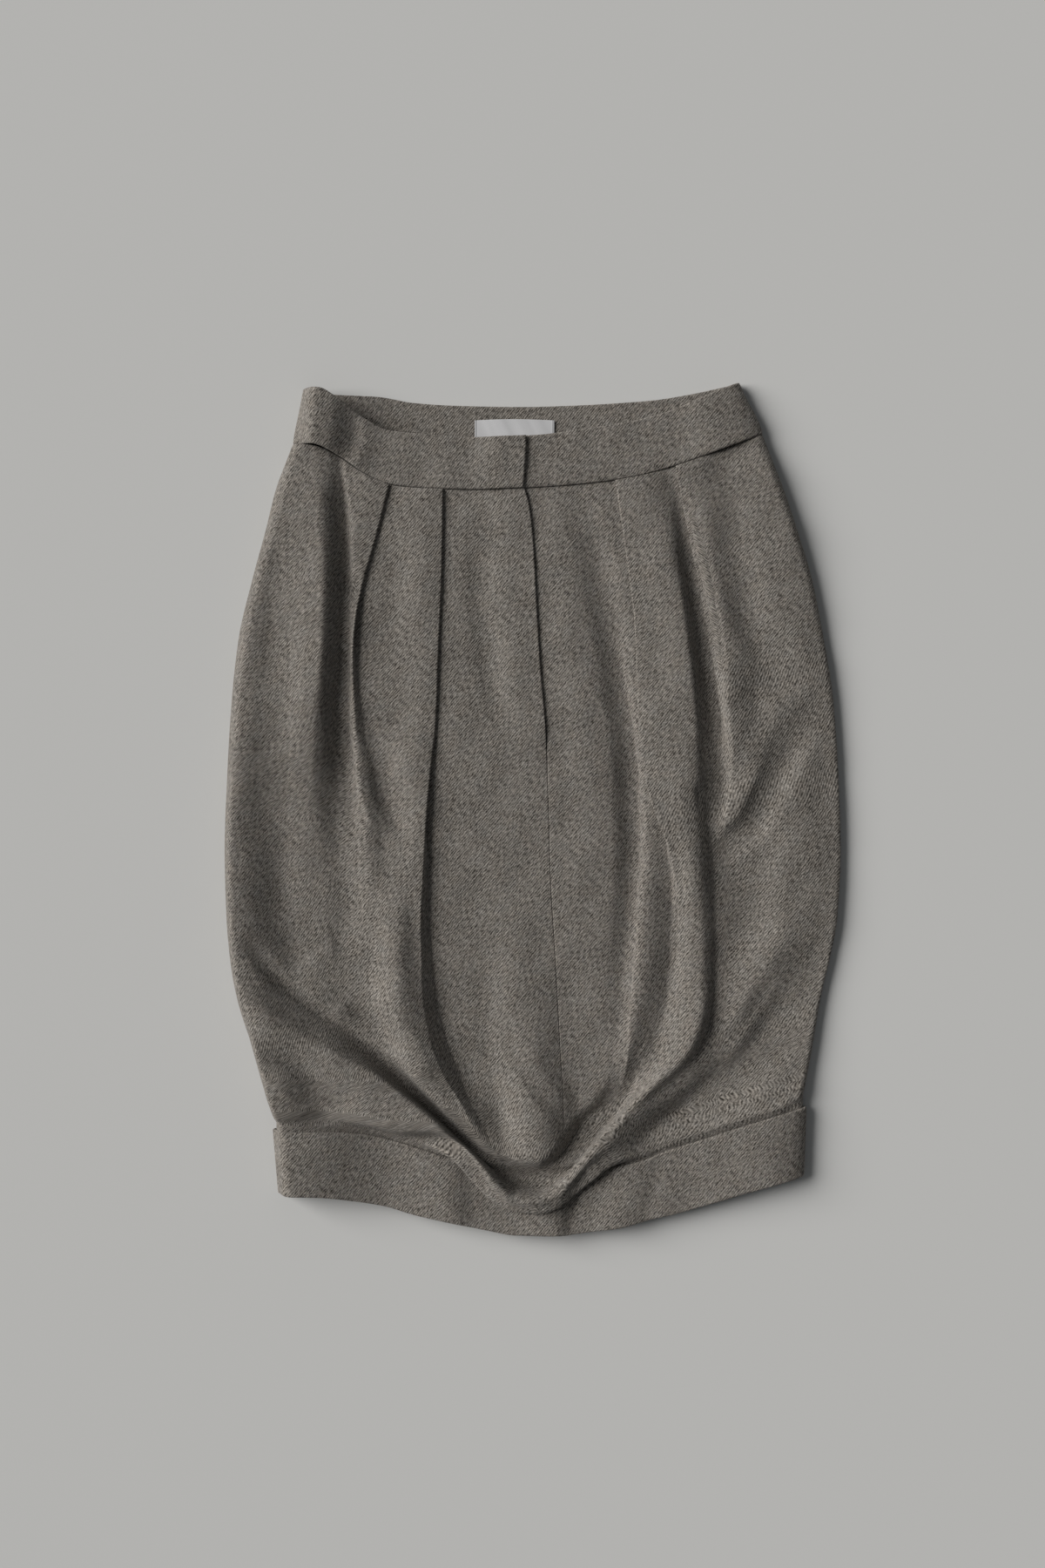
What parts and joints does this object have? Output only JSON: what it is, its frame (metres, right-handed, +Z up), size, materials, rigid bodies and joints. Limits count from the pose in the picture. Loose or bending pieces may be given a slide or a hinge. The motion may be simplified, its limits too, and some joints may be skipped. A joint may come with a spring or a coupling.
{
  "type": "balloon skirt",
  "caption": "Wool balloon skirt laid flat: waistband, forward pleats, front fly lap and turned-up hem cuff, with its front drooping over the cuff.",
  "frame": {"origin": "middle of the skirt's outline on the surface it lies on", "axes": "+Y along the skirt towards the waist, +Z up out of its front, +X to the viewer's right"},
  "size_m": [0.4539, 0.6277, 0.0277],
  "materials": {
    "wool_twill": "soft grey wool twill in light and near-black yarns, matt",
    "label_satin": "silver-white woven satin ribbon, soft sheen"
  },
  "bodies": {
    "root": {"front_left": "wool_twill", "front_right": "wool_twill", "back": "wool_twill", "waistband_front_left": "wool_twill", "waistband_front_right": "wool_twill", "waistband_back": "wool_twill", "cuff_front": "wool_twill", "cuff_back": "wool_twill", "label": "label_satin"}
  },
  "joints": []
}
